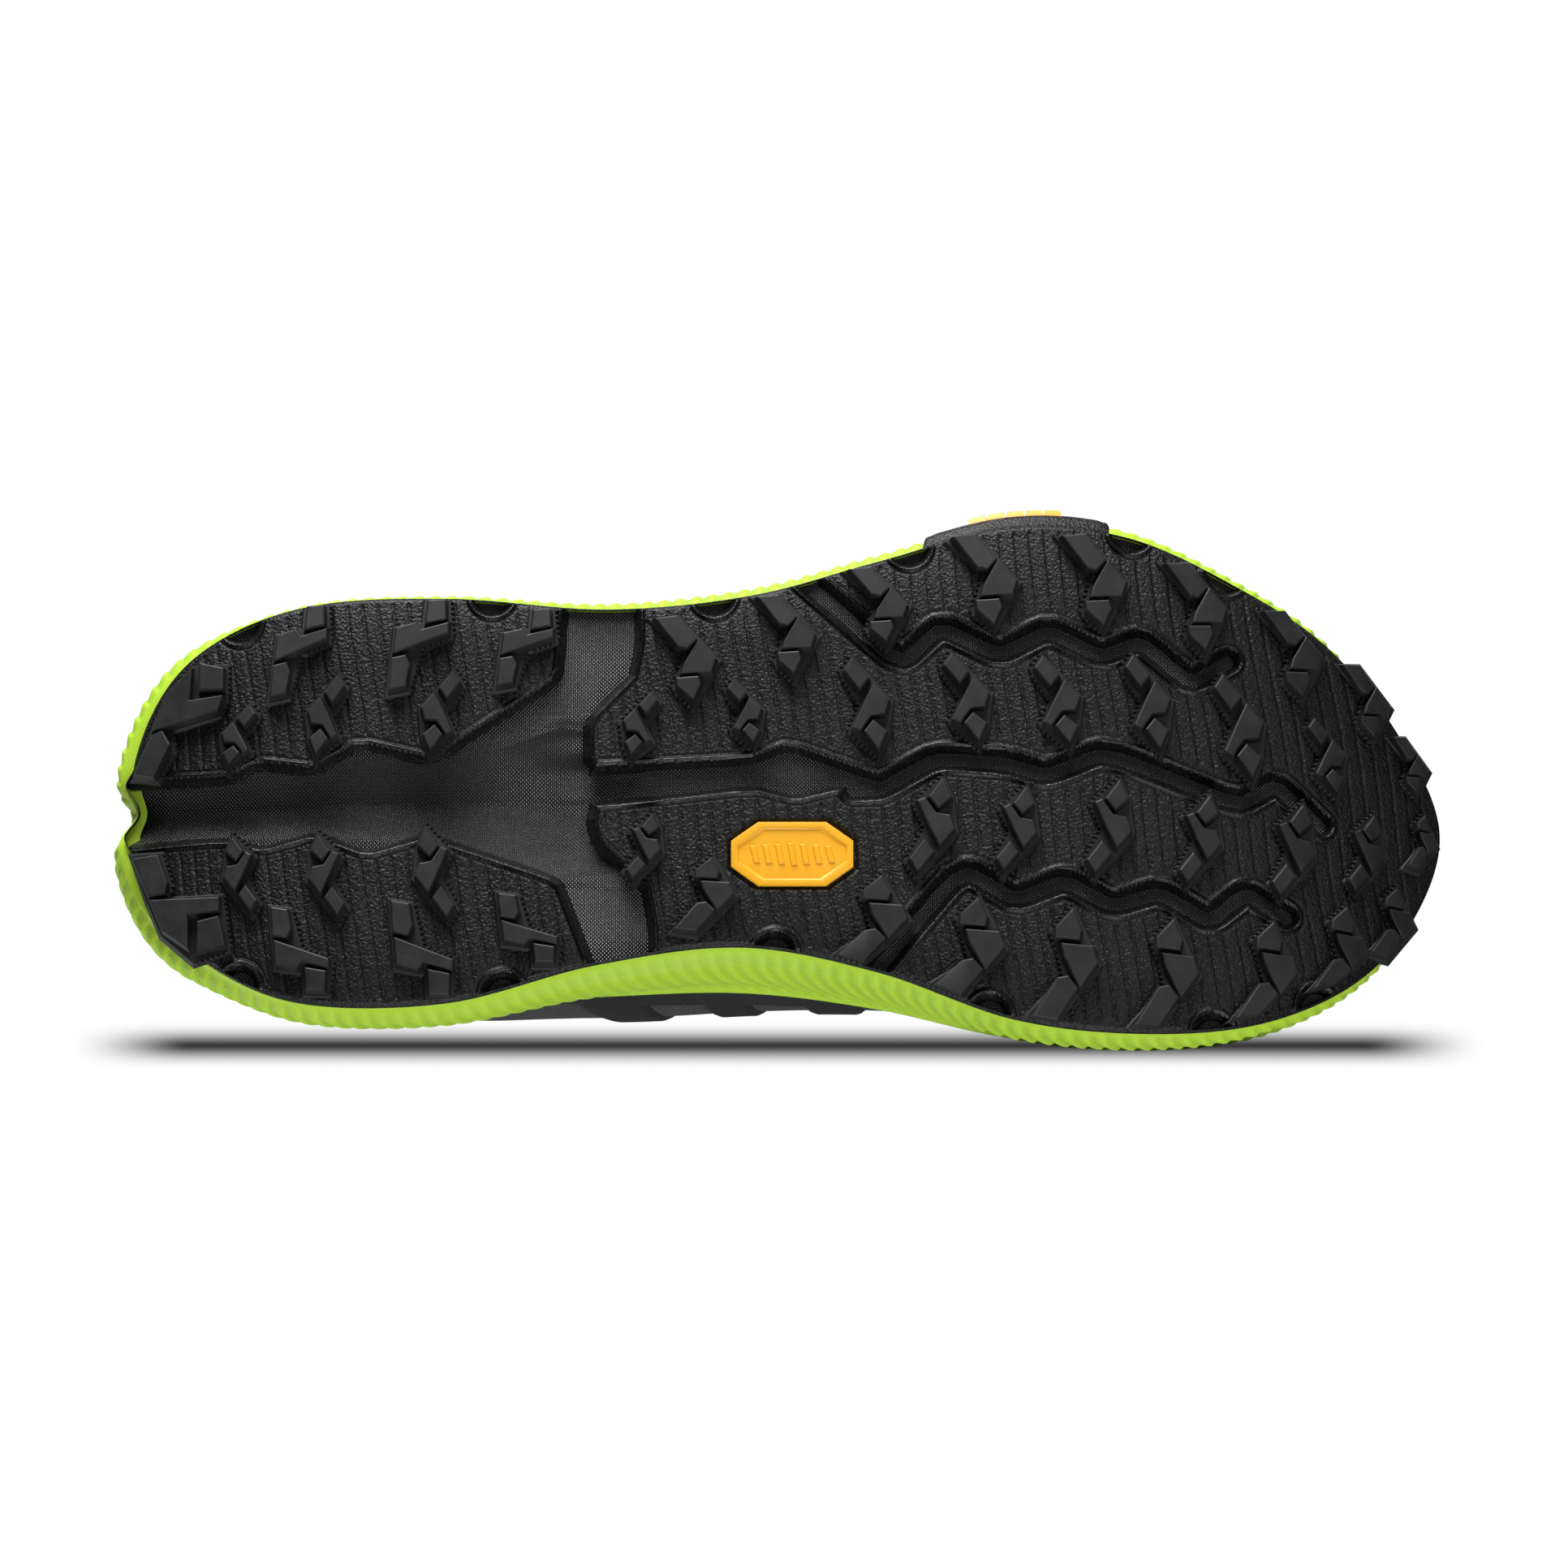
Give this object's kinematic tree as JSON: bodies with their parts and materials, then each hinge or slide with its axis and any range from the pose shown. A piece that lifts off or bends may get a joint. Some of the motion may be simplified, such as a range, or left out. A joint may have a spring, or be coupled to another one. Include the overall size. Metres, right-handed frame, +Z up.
{
  "type": "trail running shoe",
  "caption": "Right-foot trail running shoe with a lugged black outsole, a lime foam midsole, a laced fabric upper, a hinged tongue and a heel pull tab.",
  "frame": {"origin": "centre of the shoe's bounding box on the ground, under the tread", "axes": "+X from the heel to the toe, +Y towards the medial side (the inner side of a right foot), +Z up"},
  "size_m": [0.2974, 0.1242, 0.1256],
  "materials": {
    "outsole_rubber": "satin black rubber",
    "black_foam": "fine woven-dot texture, semi-gloss",
    "lime_foam": "matt moulded foam with slanted ribs",
    "amber_badge": "smooth moulded",
    "mesh_fabric": "black woven mesh",
    "overlay_film": "welded film",
    "webbing": "woven webbing",
    "lace_cord": "braided",
    "board": "pressed fibre",
    "stiffener": "thermoformed sheet",
    "lining": "brushed lining"
  },
  "bodies": {
    "shoe": {"outsole_forefoot": "outsole_rubber", "outsole_heel_lateral": "outsole_rubber", "outsole_heel_medial": "outsole_rubber", "sole_badge": "amber_badge", "side_emblem": "amber_badge", "midsole_carrier": "black_foam", "midsole_foam": "lime_foam", "strobel_board": "board", "sockliner": "lining", "heel_counter": "stiffener", "toe_puff": "stiffener", "collar_padding": "lining", "upper_vamp": "mesh_fabric", "upper_quarter_lateral": "mesh_fabric", "upper_quarter_medial": "mesh_fabric", "toe_cap": "overlay_film", "heel_clip": "overlay_film", "eyestay_lateral": "overlay_film", "eyestay_medial": "overlay_film", "saddle_lateral": "overlay_film", "saddle_medial": "overlay_film", "eyelet_lateral": "overlay_film", "eyelet_medial": "overlay_film", "lace_loop_lateral_1": "webbing", "lace_loop_lateral_2": "webbing", "lace_loop_lateral_3": "webbing", "lace_loop_lateral_4": "webbing", "lace_loop_lateral_5": "webbing", "lace_loop_medial_1": "webbing", "lace_loop_medial_2": "webbing", "lace_loop_medial_3": "webbing", "lace_loop_medial_4": "webbing", "lace_loop_medial_5": "webbing", "lace": "lace_cord", "pull_tab_base": "webbing"},
    "tongue_body": {"tongue": "mesh_fabric", "tongue_patch": "overlay_film"},
    "pull_tab_body": {"pull_tab": "webbing"}
  },
  "joints": [
    {"name": "tongue_hinge", "type": "hinge", "parent": "shoe", "child": "tongue_body", "pos_m": [0.0563, 0.0074, 0.077], "axis": [0, 1, 0], "range_deg": [-8, 0], "stiffness_Nm_per_rad": 0.3},
    {"name": "pull_tab_fold", "type": "hinge", "parent": "shoe", "child": "pull_tab_body", "pos_m": [-0.1456, 0.0074, 0.10615], "axis": [0, 1, 0], "range_deg": [-75, 0], "stiffness_Nm_per_rad": 0.02}
  ]
}
